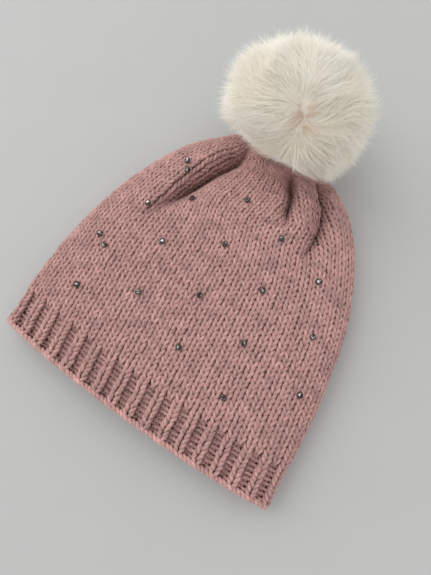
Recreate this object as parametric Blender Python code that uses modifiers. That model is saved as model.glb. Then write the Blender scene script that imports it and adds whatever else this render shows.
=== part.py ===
"""Pom pom beanie lying flat on its back: knitted body with crown folds, ribbed hem, small set stones,
and a fur pom on a press stud. Metres, +Z up, +Y from the mouth to the crown, the underside at z = 0."""

import math

import bmesh
import bpy
from mathutils import Matrix, Vector
from mathutils.bvhtree import BVHTree

# Driving dimensions of the knitted tube, measured at the middle of its wall.
WALL = 0.0036
HEM_HEIGHT = 0.028
HEM_SEAM = 0.0007
MOUTH_BOW = 0.005
MOUTH_Y = -0.110
CROWN_X = -0.018
CROWN_Y = 0.104
CROWN_Z = 0.022
CROWN_RADIUS = 0.0075
COLLAR_RADIUS = 0.016
COLLAR_SHARE = 0.95
LEFT_SIDE = [(-0.109, -0.110), (-0.1115, -0.070), (-0.1095, -0.025), (-0.101, 0.025),
             (-0.083, 0.070), (-0.063, 0.096), (-0.048, 0.106)]
RIGHT_SIDE = [(0.108, -0.110), (0.106, -0.070), (0.101, -0.025), (0.090, 0.025),
              (0.069, 0.070), (0.045, 0.097), (0.020, 0.108)]
SIDE_HEIGHTS = [(0.0, 0.0110), (0.5, 0.0130), (0.85, 0.0140)]
TOP_HEIGHTS = [(0.0, 0.0230), (0.2, 0.0255), (0.5, 0.0310), (0.8, 0.0325), (0.92, 0.0300)]
UNDERSIDE_SQUASH = 0.004
FLAT_POWER = 4.0
ROUND_POWER = 2.0
MIDDLE_LEAN = 0.3
CROWN_TURN_START = 0.86
BACK_TURN_START = 0.93
ROW_STRETCH_POWER = 4.0

# Folds that run out of the gathered crown: a line on the front, how deep and how wide the valley is.
FOLDS = [
    ([(-0.030, 0.094), (-0.046, 0.061), (-0.053, 0.038), (-0.056, 0.013), (-0.057, -0.016)], 0.0110, 0.0075),
    ([(-0.008, 0.098), (0.003, 0.084), (0.010, 0.070)], 0.0080, 0.0055),
    ([(0.014, 0.098), (0.029, 0.081), (0.036, 0.064), (0.037, 0.046), (0.036, 0.030)], 0.0110, 0.0070),
]
FOLD_FADE = 0.35

# One by one rib: how many ridges go round the mouth and how deep the valleys between them are.
RIB_COUNT = 31
RIB_DEPTH = 0.0020
RIB_FADE = 0.25
RIB_STEPS = 4

# Clearance between pieces that touch.
GAP = 0.0003

# Fastening along the pom's axis, which leans back from the vertical; heights are from the crown's centre.
POM_AXIS_RISE = math.radians(50.0)
KNOT_RADIUS = 0.0015
SHANK_RADIUS = 0.0011
SHANK_HEIGHT = 0.0044
DRAWSTRING_RADIUS = 0.0014
BUTTON_RADIUS = 0.0060
BUTTON_THICKNESS = 0.0020
SNAP_RADIUS = 0.0060
SOCKET_HEIGHT = 0.0027
SOCKET_FLOOR = 0.0006
SOCKET_LIP_RADIUS = 0.0042
STUD_FLANGE = 0.0012
STUD_HEAD_RADIUS = 0.0018
STUD_HEAD_HEIGHT = 0.0010
STUD_NECK_RADIUS = 0.0013
STUD_BOTTOM_GAP = 0.0003
SPRING_WIRE = 0.00025
SPRING_SLACK = 0.00015

# Pom: a fur ball with a flat base, which stands at FUR_BASE above the crown's centre on the pom's axis.
POM_RADIUS = 0.0505
POM_HEIGHT = 0.0495
FUR_BASE = 0.0076
DISC_RADIUS = 0.0120
DISC_THICKNESS = 0.0030
HIDE_MOUTH = 0.0070
HIDE_THICKNESS = 0.0015
DRAW_THREAD = 0.0006
NEST_GAP = 0.0007

# Set stones: where they sit on the front, seen from above, and the size of cup and crystal.
STONES = [(-0.067, 0.056), (-0.063, 0.050), (-0.071, 0.013), (-0.047, 0.034), (-0.013, 0.053),
          (-0.086, -0.024), (-0.078, -0.029), (-0.045, -0.005), (-0.008, 0.017), (0.022, 0.042),
          (-0.077, -0.062), (-0.038, -0.043), (-0.002, -0.022), (0.031, 0.004), (0.059, 0.031),
          (0.006, -0.058), (0.040, -0.032), (0.075, -0.003), (0.048, -0.068), (0.088, -0.039)]
CUP_RADIUS = 0.0021
CUP_HEIGHT = 0.0013
CUP_WALL = 0.0005
CUP_FLOOR = 0.0004
CUP_SHOULDER = 0.0010
CRYSTAL_RISE = 0.0007
CRYSTAL_CLEARANCE = 0.0001
CRYSTAL_TABLE = 0.0008
CRYSTAL_FOOT = 0.0006

# Fineness of the faceted surfaces.
FRONT_SEGMENTS = 28
BACK_SEGMENTS = 12
BODY_ROWS = 13
ROW_CROWDING = 1.3
HEM_ROWS = 3
SECTION_SAMPLES = 240
ROUND_STEPS = 32
ARC_STEPS = 11
SMALL_STEPS = 20
STONE_STEPS = 12
CRYSTAL_STEPS = 8

PINK = (0.46, 0.24, 0.22)
CREAM = (0.62, 0.57, 0.49)
HIDE = (0.55, 0.40, 0.31)
STEEL = (0.45, 0.45, 0.46)
GUNMETAL = (0.06, 0.055, 0.06)
CRYSTAL = (0.35, 0.34, 0.38)
FELT = (0.55, 0.50, 0.44)
THREAD = (0.40, 0.20, 0.19)
FIBRE = (0.80, 0.80, 0.78)


def clear_scene():
    for old in list(bpy.data.objects):
        bpy.data.objects.remove(old, do_unlink=True)


def collection(name):
    group = bpy.data.collections.new(name)
    bpy.context.scene.collection.children.link(group)
    return group


def material(name, colour, roughness, metallic=0.0):
    made = bpy.data.materials.new(name)
    made.use_nodes = True
    shader = made.node_tree.nodes["Principled BSDF"]
    shader.inputs["Base Color"].default_value = (*colour, 1.0)
    shader.inputs["Roughness"].default_value = roughness
    shader.inputs["Metallic"].default_value = metallic
    return made


def add_object(name, mesh, look, group, parent=None):
    piece = bpy.data.objects.new(name, mesh)
    if look.name not in mesh.materials:
        mesh.materials.append(look)
    group.objects.link(piece)
    piece.parent = parent
    return piece


# Smooth curves through a few points.
def spline(points, t):
    """A point at t (0 to 1) on a smooth curve through the points, which are spaced evenly in t."""
    last = len(points) - 1
    k = min(int(t * last), last - 1)
    f = t * last - k
    a = points[max(k - 1, 0)]
    b = points[k]
    c = points[k + 1]
    d = points[min(k + 2, last)]
    return tuple(0.5 * (2 * q + (r - p) * f + (2 * p - 5 * q + 4 * r - s) * f * f
                        + (3 * q - p - 3 * r + s) * f ** 3) for p, q, r, s in zip(a, b, c, d))


def even_path(points, samples=120):
    """The curve through the points as (length so far, point) pairs."""
    path = []
    walked = 0.0
    for i in range(samples + 1):
        here = Vector(spline(points, i / samples))
        if path:
            walked += (here - path[-1][1]).length
        path.append((walked, here))
    return path


def along(path, share):
    """The point at a share (0 to 1) of a path's length."""
    want = share * path[-1][0]
    for (d0, p0), (d1, p1) in zip(path, path[1:]):
        if want <= d1:
            return p0.lerp(p1, (want - d0) / max(d1 - d0, 1e-12))
    return path[-1][1].copy()


def ease(low, high, x):
    t = min(max((x - low) / (high - low), 0.0), 1.0)
    return t * t * (3 - 2 * t)


def height_at(table, v):
    """A height read from (share, height) pairs, eased between them."""
    if v <= table[0][0]:
        return table[0][1]
    for (v0, h0), (v1, h1) in zip(table, table[1:]):
        if v <= v1:
            return h0 + (h1 - h0) * ease(v0, v1, v)
    return table[-1][1]


LEFT = even_path(LEFT_SIDE + [(CROWN_X - COLLAR_RADIUS, CROWN_Y)])
RIGHT = even_path(RIGHT_SIDE + [(CROWN_X + COLLAR_RADIUS, CROWN_Y)])
MIDDLE = even_path([(0.0, MOUTH_Y - MOUTH_BOW), (MIDDLE_LEAN * CROWN_X, 0.5 * (MOUTH_Y + CROWN_Y)),
                    (CROWN_X, CROWN_Y)])


def side_share(path, v):
    """Rows keep the height of the middle rows near the mouth and stretch towards the crown."""
    near = min(MIDDLE[-1][0] / path[-1][0], 1.0)
    return near * v + (1.0 - near) * v ** ROW_STRETCH_POWER


def fold_depth(x, y):
    """How far the folds press the front down at a point."""
    depth = 0.0
    for line, deep, wide in FOLDS:
        best = None
        for k, (p, q) in enumerate(zip(line, line[1:])):
            run = Vector(q) - Vector(p)
            t = min(max((Vector((x, y)) - Vector(p)).dot(run) / run.length_squared, 0.0), 1.0)
            far = (Vector((x, y)) - Vector(p) - run * t).length
            if best is None or far < best[0]:
                best = (far, (k + t) / (len(line) - 1))
        fade = 1.0 - ease(FOLD_FADE, 1.0, best[1])
        depth = max(depth, deep * fade * math.exp(-((best[0] / wide) ** 2)))
    return depth


def section(share):
    """Closed section at a share from mouth to crown: right side, front, left side, back. The last
    shares are the flat collar that the drawstring pulls in round the crown's hole."""
    v = min(share / COLLAR_SHARE, 1.0)
    gather = max((share - COLLAR_SHARE) / (1.0 - COLLAR_SHARE), 0.0)
    left = along(LEFT, side_share(LEFT, v))
    right = along(RIGHT, side_share(RIGHT, v))
    mid = along(MIDDLE, v)
    turn = ease(CROWN_TURN_START, 1.0, v)
    back_turn = ease(BACK_TURN_START, 1.0, v)
    side_z = height_at(SIDE_HEIGHTS, v) * (1 - turn) + CROWN_Z * turn
    ring_rise = COLLAR_RADIUS * math.cos(POM_AXIS_RISE)
    ring_lean = COLLAR_RADIUS * math.sin(POM_AXIS_RISE)
    front = (height_at(TOP_HEIGHTS, v) - height_at(SIDE_HEIGHTS, v)) * (1 - turn) + ring_rise * turn
    back = (side_z - WALL / 2 + UNDERSIDE_SQUASH) * (1 - back_turn) + ring_rise * back_turn
    power = FLAT_POWER + (ROUND_POWER - FLAT_POWER) * turn
    centre = Vector((CROWN_X, CROWN_Y, CROWN_Z))
    points = []
    for i in range(SECTION_SAMPLES):
        angle = 2 * math.pi * i / SECTION_SAMPLES
        s = math.cos(angle)
        q = math.copysign(math.sqrt(max(1.0 - abs(s) ** power, 0.0)), math.sin(angle))
        flat = mid + (right - left) * 0.5 * s + ((right + left) * 0.5 - mid) * s * s
        y = flat.y - ring_lean * turn * q
        z = side_z + (front if q > 0 else back) * q
        if q > 0:
            z -= fold_depth(flat.x, y) * q * (1 - turn)
        point = Vector((flat.x, y, max(z, WALL / 2)))
        points.append(point.lerp(centre, gather * (1 - CROWN_RADIUS / COLLAR_RADIUS)))
    return points


def ring(v, shares):
    """Points at shares of the way round the section at v, even in length."""
    points = section(v)
    points.append(points[0])
    path = [(0.0, points[0])]
    for p, q in zip(points, points[1:]):
        path.append((path[-1][0] + (q - p).length, q))
    return [along(path, share) for share in shares]


def tube_mesh(name, shares, rows):
    """A grid rolled up into a tube: one column for each share round it, one row for each section."""
    grid = bmesh.new()
    bmesh.ops.create_grid(grid, x_segments=len(shares), y_segments=len(rows) - 1, size=1.0)
    for vert in grid.verts:
        column = round((vert.co.x + 1) / 2 * len(shares)) % len(shares)
        row = round((vert.co.y + 1) / 2 * (len(rows) - 1))
        vert.co = rows[row][column]
    bmesh.ops.remove_doubles(grid, verts=grid.verts, dist=1e-6)
    bmesh.ops.recalc_face_normals(grid, faces=grid.faces)
    mesh = bpy.data.meshes.new(name)
    grid.to_mesh(mesh)
    grid.free()
    mesh.shade_smooth()
    return mesh


def solidify(piece):
    wall = piece.modifiers.new("Wall", "SOLIDIFY")
    wall.thickness = WALL
    wall.offset = 0.0


def knit_body(group):
    shares = [0.5 * i / FRONT_SEGMENTS for i in range(FRONT_SEGMENTS)]
    shares += [0.5 + 0.5 * i / BACK_SEGMENTS for i in range(BACK_SEGMENTS)]
    start = COLLAR_SHARE * (HEM_HEIGHT + HEM_SEAM) / MIDDLE[-1][0]
    rows = []
    for j in range(BODY_ROWS + 1):
        part = 1 - (1 - j / BODY_ROWS) ** ROW_CROWDING
        rows.append(ring(start + (COLLAR_SHARE - start) * part, shares))
    rows.append(ring(1.0, shares))
    mesh = tube_mesh("knit_body", shares, rows)
    piece = add_object("knit_body", mesh, material("body_yarn", PINK, 0.95), group)
    solidify(piece)
    return piece


def ribbed_hem(group):
    columns = RIB_COUNT * RIB_STEPS
    shares = [i / columns for i in range(columns)]
    end = COLLAR_SHARE * HEM_HEIGHT / MIDDLE[-1][0]
    rows = []
    for j in range(HEM_ROWS + 1):
        part = j / HEM_ROWS
        fade = 1.0 - ease(1.0 - RIB_FADE, 1.0, part)
        loop = ring(end * part, shares)
        centre = sum(loop, Vector()) / columns
        row = []
        for i, point in enumerate(loop):
            run = (loop[(i + 1) % columns] - loop[i - 1]).normalized()
            inward = run.cross(Vector((0, 1, 0))).normalized()
            if inward.dot(centre - point) < 0:
                inward.negate()
            valley = 0.5 * RIB_DEPTH * (1 - math.cos(2 * math.pi * i / RIB_STEPS)) * fade
            row.append(point + inward * valley)
        rows.append(row)
    mesh = tube_mesh("ribbed_hem", shares, rows)
    piece = add_object("ribbed_hem", mesh, material("hem_yarn", PINK, 0.95), group)
    solidify(piece)
    return piece


# Turned pieces: a profile of (radius, height) points, outer side first, spun about local Z.
def turned(name, profile, look, group, parent, steps=ROUND_STEPS):
    build = bmesh.new()
    verts = [build.verts.new((r, 0.0, h)) for r, h in profile]
    for a, b in zip(verts, verts[1:]):
        build.edges.new((a, b))
    mesh = bpy.data.meshes.new(name)
    build.to_mesh(mesh)
    build.free()
    piece = add_object(name, mesh, look, group, parent)
    screw = piece.modifiers.new("Turn", "SCREW")
    screw.steps = steps
    screw.render_steps = steps
    screw.use_merge_vertices = True
    screw.merge_threshold = 0.00001
    return piece


def arc(centre, radius, start, end, count=ARC_STEPS):
    """Points on a circle about (0, centre) in the profile plane, by angle from straight up."""
    points = []
    for i in range(count + 1):
        angle = start + (end - start) * i / count
        points.append((max(radius * math.sin(angle), 0.0), centre + radius * math.cos(angle)))
    return points


def torus(name, radius, wire, height, look, group, parent, around=24, across=8):
    bpy.ops.mesh.primitive_torus_add(major_radius=radius, minor_radius=wire, major_segments=around,
                                     minor_segments=across, location=(0, 0, 0))
    piece = bpy.context.object
    piece.name = name
    piece.data.name = name
    piece.data.materials.append(look)
    for holder in list(piece.users_collection):
        holder.objects.unlink(piece)
    group.objects.link(piece)
    piece.parent = parent
    piece.location = (0, 0, height)
    return piece


def axis_frame(group):
    """Empty at the crown's centre whose Z is the pom's axis; every turned piece hangs from it."""
    frame = bpy.data.objects.new("pom_axis", None)
    frame.location = (CROWN_X, CROWN_Y, CROWN_Z)
    frame.rotation_euler = (POM_AXIS_RISE - math.pi / 2, 0, 0)
    group.objects.link(frame)
    return frame


# Heights of the stack on the pom's axis, each worked out from the piece below it.
SOCKET_BASE = SHANK_HEIGHT + GAP
SOCKET_TOP = SOCKET_BASE + SOCKET_HEIGHT
HEAD_BOTTOM = SOCKET_BASE + SOCKET_FLOOR + STUD_BOTTOM_GAP
HEAD_TOP = HEAD_BOTTOM + STUD_HEAD_HEIGHT
FLANGE_BASE = SOCKET_TOP + GAP
FLANGE_TOP = FLANGE_BASE + STUD_FLANGE
DISC_BASE = FLANGE_TOP + GAP
DISC_TOP = DISC_BASE + DISC_THICKNESS
MOUTH_PLANE = DISC_TOP + GAP
POM_CENTRE = (POM_HEIGHT - CROWN_Z) / math.sin(POM_AXIS_RISE)
HIDE_INNER = math.hypot(POM_CENTRE - MOUTH_PLANE, HIDE_MOUTH)
HIDE_RADIUS = HIDE_INNER + HIDE_THICKNESS


def plane_angle(radius, height):
    """Angle from straight up, about the pom's centre, where a ball of this radius meets a height."""
    return math.acos(max(min((height - POM_CENTRE) / radius, 1.0), -1.0))


def fastening(group, frame):
    thread = material("sewing_thread", THREAD, 0.9)
    steel = material("snap_steel", STEEL, 0.3, 1.0)
    ring_radius = CROWN_RADIUS - GAP - DRAWSTRING_RADIUS
    torus("crown_drawstring", ring_radius, DRAWSTRING_RADIUS, 0.0,
          material("drawstring_yarn", PINK, 0.95), group, frame)
    button_top = -max(KNOT_RADIUS, DRAWSTRING_RADIUS) - GAP
    button_base = button_top - BUTTON_THICKNESS
    turned("backing_button", [(0, button_top), (BUTTON_RADIUS, button_top), (BUTTON_RADIUS, button_base),
                              (0, button_base)],
           material("button_plastic", THREAD, 0.5), group, frame, SMALL_STEPS)
    neck = math.asin(SHANK_RADIUS / KNOT_RADIUS)
    turned("thread_shank", [(0, SHANK_HEIGHT), (SHANK_RADIUS, SHANK_HEIGHT)]
           + arc(0.0, KNOT_RADIUS, neck, math.pi),
           thread, group, frame, SMALL_STEPS)
    bore = STUD_HEAD_RADIUS + GAP
    floor = SOCKET_BASE + SOCKET_FLOOR
    turned("snap_socket", [(0, floor), (bore, floor), (bore, SOCKET_TOP), (SOCKET_LIP_RADIUS, SOCKET_TOP),
                           (SNAP_RADIUS, floor), (SNAP_RADIUS, SOCKET_BASE), (0, SOCKET_BASE)],
           steel, group, frame, SMALL_STEPS)
    spring_radius = STUD_NECK_RADIUS + SPRING_SLACK + SPRING_WIRE
    torus("snap_spring", spring_radius, SPRING_WIRE, (HEAD_TOP + FLANGE_BASE) / 2,
          material("spring_wire", STEEL, 0.25, 1.0), group, frame, around=16, across=6)
    turned("snap_stud", [(0, FLANGE_TOP), (SNAP_RADIUS, FLANGE_TOP), (SNAP_RADIUS, FLANGE_BASE),
                         (STUD_NECK_RADIUS, FLANGE_BASE), (STUD_NECK_RADIUS, HEAD_TOP),
                         (STUD_HEAD_RADIUS, HEAD_TOP), (STUD_HEAD_RADIUS, HEAD_BOTTOM), (0, HEAD_BOTTOM)],
           material("stud_steel", STEEL, 0.3, 1.0), group, frame, SMALL_STEPS)


def pom(group, frame):
    turned("pom_base_disc", [(0, DISC_TOP), (DISC_RADIUS, DISC_TOP), (DISC_RADIUS, DISC_BASE),
                             (0, DISC_BASE)],
           material("base_felt", FELT, 0.95), group, frame, SMALL_STEPS)
    outer_mouth = plane_angle(HIDE_RADIUS, MOUTH_PLANE)
    inner_mouth = plane_angle(HIDE_INNER, MOUTH_PLANE)
    turned("pom_hide", arc(POM_CENTRE, HIDE_RADIUS, 0, outer_mouth)
           + arc(POM_CENTRE, HIDE_INNER, inner_mouth, 0),
           material("fur_hide", HIDE, 0.9), group, frame, SMALL_STEPS)
    thread_height = MOUTH_PLANE + 2 * DRAW_THREAD
    thread_angle = plane_angle(HIDE_INNER, thread_height - DRAW_THREAD)
    thread_radius = HIDE_INNER * math.sin(thread_angle) - GAP - DRAW_THREAD
    torus("pom_draw_thread", thread_radius, DRAW_THREAD, thread_height,
          material("hide_thread", FELT, 0.9), group, frame)
    filling = HIDE_INNER - NEST_GAP
    filling_base = thread_height + DRAW_THREAD + GAP
    filling_edge = plane_angle(filling, filling_base)
    turned("pom_stuffing", arc(POM_CENTRE, filling, 0, filling_edge) + [(0, filling_base)],
           material("stuffing_fibre", FIBRE, 1.0), group, frame, SMALL_STEPS)
    root = HIDE_RADIUS + NEST_GAP
    well = DISC_RADIUS + NEST_GAP
    well_angle = math.pi - math.asin(well / root)
    turned("pom_fur", arc(POM_CENTRE, POM_RADIUS, 0, plane_angle(POM_RADIUS, FUR_BASE)) + [(well, FUR_BASE)]
           + arc(POM_CENTRE, root, well_angle, 0), material("fur_pile", CREAM, 0.9), group, frame)


def stones(group, body):
    """Cup and crystal on the front at each place, square to the cloth and clear of it."""
    bpy.context.view_layer.update()
    shaped = body.evaluated_get(bpy.context.evaluated_depsgraph_get())
    cloth = BVHTree.FromObject(body, bpy.context.evaluated_depsgraph_get())
    metal = material("cup_metal", GUNMETAL, 0.35, 1.0)
    glass = material("cut_crystal", CRYSTAL, 0.1)
    top = max(corner[2] for corner in shaped.bound_box) + POM_RADIUS
    bore = CUP_RADIUS - CUP_WALL
    seat = CUP_FLOOR + CRYSTAL_CLEARANCE
    girdle = bore - CRYSTAL_CLEARANCE
    cup_profile = [(0, CUP_FLOOR), (bore, CUP_FLOOR), (bore, CUP_HEIGHT), (CUP_RADIUS, CUP_SHOULDER),
                   (CUP_RADIUS, 0), (0, 0)]
    crystal_profile = [(0, CUP_HEIGHT + CRYSTAL_RISE), (CRYSTAL_TABLE, CUP_HEIGHT + CRYSTAL_RISE),
                       (girdle, CUP_HEIGHT), (CRYSTAL_FOOT, seat), (0, seat)]
    for number, (x, y) in enumerate(STONES, start=1):
        point, normal, _, _ = cloth.ray_cast(Vector((x, y, top)), Vector((0, 0, -1)))
        turn = normal.to_track_quat("Z", "Y").to_matrix().to_4x4()
        lift = 0.0
        for k in range(STONE_STEPS):
            angle = 2 * math.pi * k / STONE_STEPS
            rim = point + turn @ Vector((CUP_RADIUS * math.cos(angle), CUP_RADIUS * math.sin(angle), 0))
            hit, _, _, _ = cloth.ray_cast(rim + normal * POM_RADIUS, -normal)
            lift = max(lift, (hit - rim).dot(normal))
        place = Matrix.Translation(point + normal * (lift + GAP)) @ turn
        cup = turned(f"stone_cup_{number:02d}", cup_profile, metal, group, None, STONE_STEPS)
        cup.matrix_world = place
        crystal = turned(f"stone_crystal_{number:02d}", crystal_profile, glass, group, None, CRYSTAL_STEPS)
        crystal.matrix_world = place


def main():
    clear_scene()
    group = collection("pom_pom_beanie")
    frame = axis_frame(group)
    body = knit_body(group)
    ribbed_hem(group)
    fastening(group, frame)
    pom(group, frame)
    stones(group, body)


main()
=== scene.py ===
"""Looks of the pom pom beanie: yarn knitted stitch by stitch, fur hair by hair, stones and press stud.
Metres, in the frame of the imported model: +Y from the mouth to the crown, +Z up, the floor at z = 0."""

import math

import bmesh
import bpy
import numpy as np
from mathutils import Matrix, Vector, kdtree, noise


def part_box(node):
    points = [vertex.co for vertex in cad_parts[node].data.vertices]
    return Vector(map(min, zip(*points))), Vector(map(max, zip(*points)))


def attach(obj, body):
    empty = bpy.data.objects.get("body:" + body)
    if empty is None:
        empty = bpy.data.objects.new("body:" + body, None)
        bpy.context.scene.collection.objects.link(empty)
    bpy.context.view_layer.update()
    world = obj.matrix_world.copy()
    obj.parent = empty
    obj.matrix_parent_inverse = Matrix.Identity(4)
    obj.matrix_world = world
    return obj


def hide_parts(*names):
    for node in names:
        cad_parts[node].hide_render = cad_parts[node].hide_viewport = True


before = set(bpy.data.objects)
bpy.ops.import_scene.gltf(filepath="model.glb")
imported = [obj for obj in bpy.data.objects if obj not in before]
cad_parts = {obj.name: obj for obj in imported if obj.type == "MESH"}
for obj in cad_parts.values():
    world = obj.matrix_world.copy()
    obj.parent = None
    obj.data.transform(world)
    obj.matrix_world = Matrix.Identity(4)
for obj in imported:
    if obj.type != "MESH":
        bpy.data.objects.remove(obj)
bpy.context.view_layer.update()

# The cloth's shape at the middle of the wall: the solids' own, with the left side drawn in a little.
WALL = 0.0036
HEM_HEIGHT = 0.028
MOUTH_BOW = 0.005
MOUTH_Y = -0.110
CROWN_X = -0.018
CROWN_Y = 0.104
CROWN_Z = 0.022
CROWN_RADIUS = 0.0075
COLLAR_RADIUS = 0.016
COLLAR_SHARE = 0.95
LEFT_SIDE = [(-0.1075, -0.110), (-0.110, -0.070), (-0.1085, -0.025), (-0.100, 0.025),
             (-0.0815, 0.070), (-0.060, 0.096), (-0.046, 0.106)]
RIGHT_SIDE = [(0.108, -0.110), (0.106, -0.070), (0.101, -0.025), (0.090, 0.025),
              (0.069, 0.070), (0.045, 0.097), (0.020, 0.108)]
SIDE_HEIGHTS = [(0.0, 0.0110), (0.5, 0.0130), (0.85, 0.0140)]
TOP_HEIGHTS = [(0.0, 0.0230), (0.2, 0.0255), (0.5, 0.0310), (0.8, 0.0325), (0.92, 0.0300)]
UNDERSIDE_SQUASH = 0.004
FLAT_POWER = 4.0
ROUND_POWER = 2.0
MIDDLE_LEAN = 0.3
CROWN_TURN_START = 0.86
BACK_TURN_START = 0.93
ROW_STRETCH_POWER = 4.0
FOLD_FADE = 0.35
NORMAL_PASSES = 6
POM_AXIS_RISE = math.radians(50.0)

# Folds that run out of the crown: a line on the front, depth, width to its left and right, and how far
# the cloth on the left leans over the valley.
FOLDS = [
    ([(-0.034, 0.097), (-0.050, 0.063), (-0.058, 0.041), (-0.064, 0.017), (-0.067, -0.011)],
     0.0140, 0.0050, 0.0120, 0.0),
    ([(-0.008, 0.098), (0.003, 0.084), (0.010, 0.070)], 0.0080, 0.0055, 0.0055, 0.0),
    ([(0.014, 0.098), (0.029, 0.081), (0.036, 0.064), (0.037, 0.046), (0.036, 0.030)],
     0.0110, 0.0055, 0.0080, 0.0),
]
# Sharp creases inside those folds, and the rolls of cloth that stand up beside them.
CREASES = [
    ([(-0.035, 0.098), (-0.047, 0.0735), (-0.056, 0.052), (-0.064, 0.030), (-0.070, 0.004)],
     0.0115, 0.0036, 0.0065, 0.0030),
    ([(-0.0015, 0.0965), (0.0070, 0.0860), (0.0115, 0.0765), (0.0155, 0.0630), (0.0230, 0.0470)],
     0.0175, 0.0046, 0.0030, 0.0),
    ([(0.019, 0.098), (0.033, 0.083), (0.038, 0.071), (0.040, 0.055), (0.042, 0.026)],
     0.0155, 0.0030, 0.0065, 0.0035),
]
ROLLS = [
    ([(0.006, 0.098), (0.0205, 0.0838), (0.0277, 0.069), (0.0315, 0.046)], 0.0035, 0.0060, 0.0055, 0.0),
]
CREASE_END = 0.93
CREASE_FADE = 0.60
LEAN_FROM = 0.0040
LEAN_WIDTH = 0.0030

# The knitting: stitches round the hat and rows from the mouth to the crown.
WALES = 68
HEM_ROWS = 8
BODY_ROWS = 55
KNIT_SKEW = 0.045
DECREASE_SHARE = 0.895
EDGE_HEIGHT = 0.0030
LAST_ROW = 0.998
LOOP_LEAN = 0.23
LOOP_PINCH = 0.012
LOOP_HEIGHT = 0.97
LEG_RISE = 0.0011
YARN_RADIUS = 0.00118
YARN_SWELL = 0.28
YARN_SINK = 0.0004
FULL_STITCH = 0.0060
STITCH_POINTS = 14
YARN_SIDES = 6
PLACE_SPREAD = 0.042
ROW_SPREAD = 0.07
DEPTH_SPREAD = 0.00018
SIZE_SPREAD = 0.06
TONE_SPREAD = 0.12
RIB_RISE = 0.0018
RIB_WIDEN = 0.45
PURL_SINK = 0.0012
RIB_FADE_ROWS = 8
TABLE_ROWS = 200
EVEN_FROM = 0.60
GUIDE_SHARE = 0.50
TABLE_COLUMNS = 992
SECTION_SAMPLES = 800
# A dark sheet under the stitches, painted shade that shows between them.
SHADE_SHEET_SINK = 0.0017
SHADE_SHEET_ROWS = 110
SHADE_SHEET_COLUMNS = 372
SHADE_SHEET_END = 0.985
SHADE_SHEET_THICKNESS = 0.0005
FIBRES = 12000
FIBRE_LENGTH = 0.0030
FIBRE_RADIUS = 0.00006
CAST_ON_RADIUS = 0.0012
CAST_ON_TWIST = 0.0010
CAST_ON_POINTS = 12
CAST_ON_PLACE = 0.6
CAST_ON_RIB = 0.6
CAST_ON_INWARD = 0.02
CAST_ON_TONE = 1.12
LEAST_STITCH = 0.4
THINNING_POWER = 0.8
# Painted shade on the yarn: the depths over which the legs darken, and the facings over which the flanks
# darken.
LEG_SHADE_DEPTHS = (-2.2, 0.8)
FLANK_SHADE_FACING = (-0.3, 0.9)
SHADE_SHEET_LOW = 0.0008
FIBRE_SPREAD = 0.6
FIBRE_CURL = 0.8
FIBRE_LENGTHS = (0.5, 1.2)
FIBRE_BEND = 0.5
FIBRE_END = 0.6
FIBRE_TONE = 1.1
FIBRE_SEGMENTS = 2
STRING_RADIUS = 0.0013
STRING_ROOM = 0.0001
STRING_WAVE = 0.0001
STRING_WAVES = 9
STRING_POINTS = 160
STRING_SIDES = 10
STRING_TONE = 0.9
BODY_PIECES = ("knit_rows_low", "knit_rows_middle", "knit_rows_high", "knit_rows_crown")

# The pom. Heights are from the crown's centre along the pom's axis; ways are from the pom's centre.
POM_CENTRE = 0.0359
FUR_BASE = 0.0076
DISC_WELL = 0.0132
HIDE_ROOM = 0.0267
POM_TOP_SHARE = 0.83
HOLLOW_WAY = (-0.20, -0.95, -0.22)
HOLLOW_FROM = 0.72
HOLLOW_SHARE = 0.17
UNDERFUR_RADIUS = 0.0455
HAIR_ROOT = 0.0445
HAIR_REACH = 0.0508
HAIR_REACH_SPREAD = 0.0030
WISP_SHARE = 0.24
WISP_REACH = 0.0085
HAIR_SWIRL = 2.0
SWIRL_SCALE = 2.0
DRAPES = [((-0.82, -0.56, 0.05), 0.0040), ((0.45, -0.85, -0.26), 0.0045)]
HAIR_RADIUS = 0.00014
HAIRS = 36000
HAIR_PIECES = 3
HAIR_SEGMENTS = 3
CLUMPS = 1500
CLUMP_PULL = 0.35
PARTING = [(0.216, -0.559, 0.801), (0.287, -0.607, 0.741), (0.331, -0.665, 0.669), (0.310, -0.754, 0.579)]
PARTING_WIDTH = 0.07
PARTING_DIMPLE = 0.0040
DIMPLE_WIDTH = 0.20
HAIR_JITTER = 0.02
HAIR_HANG = 0.0015
HAIR_LOW = 0.0007
HAIR_TAPER = 0.7
HAIR_WIDTHS = (0.7, 1.25)
HAIR_TONE_SPREAD = 0.12
BASE_ROOM = 0.001
LAY_MOST = 0.955
LAY_DROP = 0.45
LAY_ANGLES = (0.3, 1.8)
LAY_SPREAD = 0.05
LAY_LIMIT = 0.98
WAY_SPREAD = 0.10
DRAPE_EDGES = (0.35, 0.95)
CLUMP_JITTER = 0.03
CLUMP_LEAST = 0.3
BEND_OUT = 0.6
BEND_PLACE = 0.45
BEND_SPREAD = 0.0008
WOOL_GAP = 0.0003
WOOL_LOW = 0.0010
WOOL_RINGS = 40
WOOL_STEPS = 72
WOOL_SHARE = 0.45
HIDE_RINGS = 24
TUFT_SCALE = 7.0
TUFT_HEIGHT = 0.0012
PATCH_SCALE = 2.3
PATCH_START = (4.1, 0.7, 2.2)
PATCH_EDGES = (-0.15, 0.35)
ROOT_SHARE = 0.75

# Colours, as light they send back.
YARN_COLOUR = (0.610, 0.352, 0.326)
# Painted shade: the colour that deep legs and the yarn's flanks are darkened towards.
YARN_PAINTED_SHADE = (0.44, 0.38, 0.37)
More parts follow.
